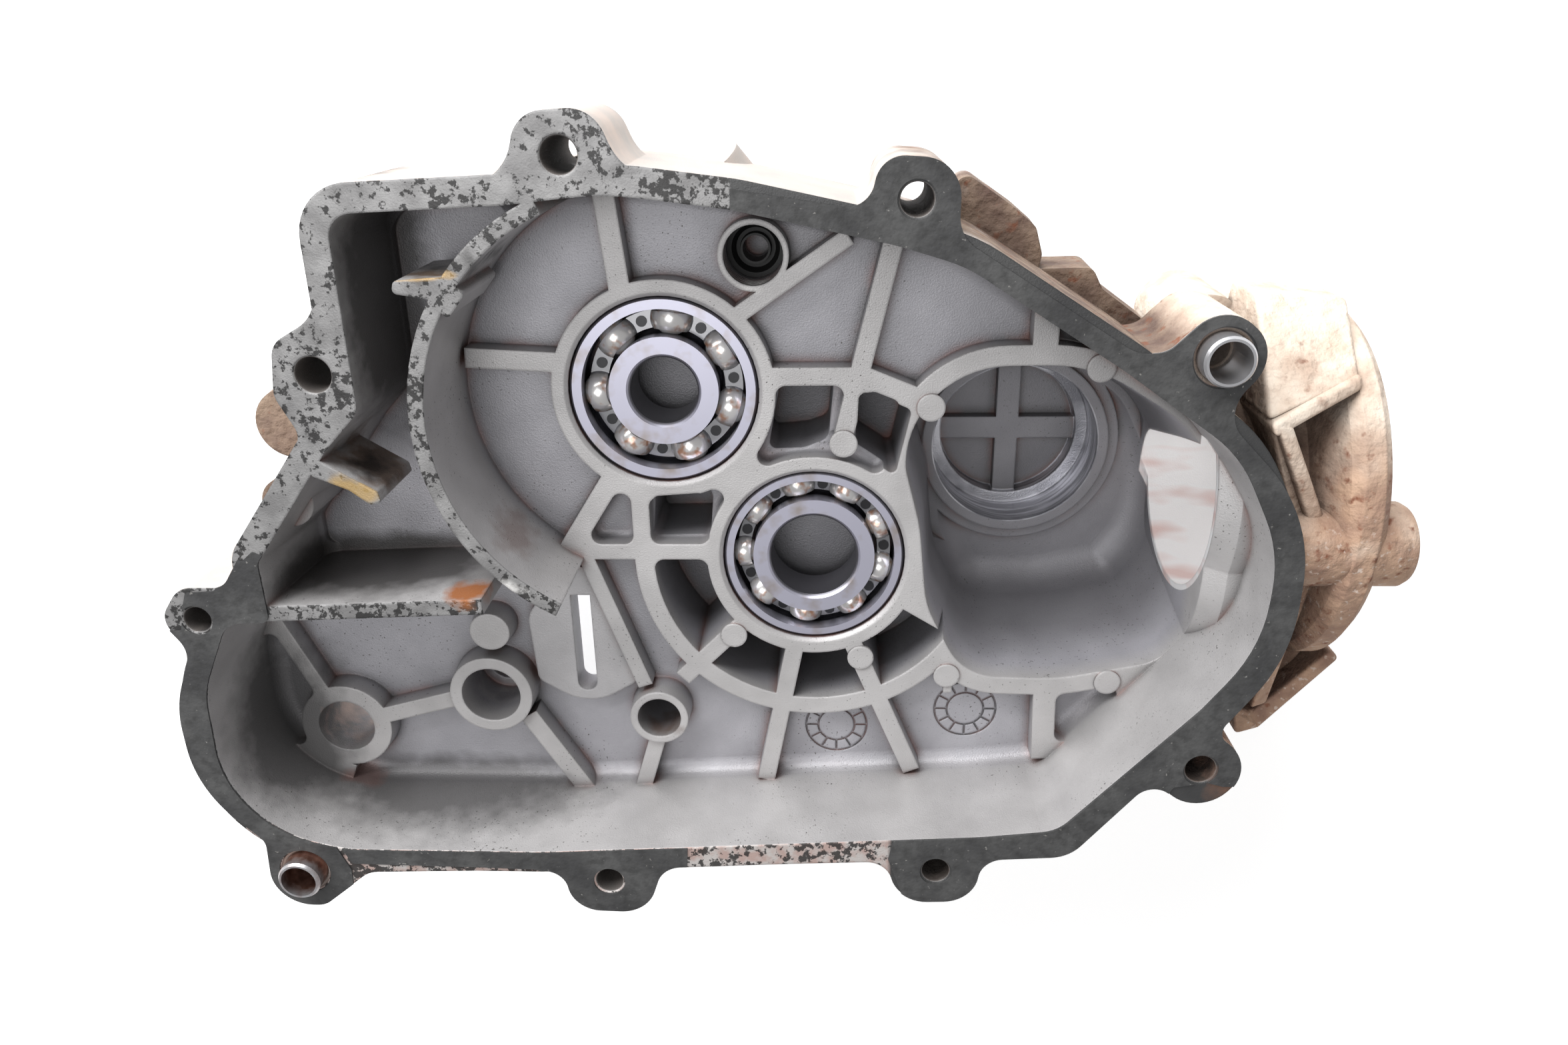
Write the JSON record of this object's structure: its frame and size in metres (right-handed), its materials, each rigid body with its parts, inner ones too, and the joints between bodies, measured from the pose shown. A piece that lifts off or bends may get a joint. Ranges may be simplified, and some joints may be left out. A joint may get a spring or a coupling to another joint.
{
  "type": "gearbox housing",
  "caption": "Die-cast gearbox housing half with ribbed floor, ball bearings in bored seats, a deep drive chamber and a side nose for the drive shaft.",
  "frame": {"origin": "on the axis of the lower bearing, at half its width", "axes": "+X towards the drive shaft's nose, +Y to the top bolt lugs, +Z out of the open joint face"},
  "size_m": [0.2711, 0.1809, 0.0912],
  "materials": {
    "cast_aluminium": "as-cast, shot-blasted, dirty outside",
    "ring_steel": "ground",
    "ball_steel": "polished",
    "cage_steel": "pressed sheet, oiled",
    "sleeve_steel": "rolled sheet steel",
    "sleeve_steel_stained": "rolled sheet steel, rust stained",
    "gasket_paper": "dark fibre sheet, torn",
    "rubber": "matt"
  },
  "bodies": {
    "case": {"housing": "cast_aluminium", "upper_outer_ring": "ring_steel", "lower_outer_ring": "ring_steel", "dowel_sleeve_right": "sleeve_steel", "dowel_sleeve_left": "sleeve_steel_stained", "breather_ring": "rubber", "gasket_main": "gasket_paper", "gasket_bottom": "gasket_paper", "gasket_left": "gasket_paper"},
    "upper_ring": {"upper_inner_ring": "ring_steel"},
    "upper_cage": {"upper_balls": "ball_steel", "upper_cage_front": "cage_steel", "upper_cage_back": "cage_steel", "upper_cage_rivets": "cage_steel"},
    "lower_ring": {"lower_inner_ring": "ring_steel"},
    "lower_cage": {"lower_balls": "ball_steel", "lower_cage_front": "cage_steel", "lower_cage_back": "cage_steel", "lower_cage_rivets": "cage_steel"}
  },
  "joints": [
    {"name": "upper_ring_spin", "type": "hinge", "parent": "case", "child": "upper_ring", "pos_m": [-0.0327, 0.0396, -0.0005], "axis": [0, 0, 1], "continuous": true},
    {"name": "upper_cage_spin", "type": "hinge", "parent": "case", "child": "upper_cage", "pos_m": [-0.0327, 0.0396, -0.0005], "axis": [0, 0, 1], "continuous": true},
    {"name": "lower_ring_spin", "type": "hinge", "parent": "case", "child": "lower_ring", "pos_m": [0, 0, 0], "axis": [0, 0, 1], "continuous": true},
    {"name": "lower_cage_spin", "type": "hinge", "parent": "case", "child": "lower_cage", "pos_m": [0, 0, 0], "axis": [0, 0, 1], "continuous": true}
  ],
  "couplings": [
    {"joint": "upper_cage_spin", "follows": "upper_ring_spin", "ratio": 0.36858},
    {"joint": "lower_cage_spin", "follows": "lower_ring_spin", "ratio": 0.40261}
  ]
}
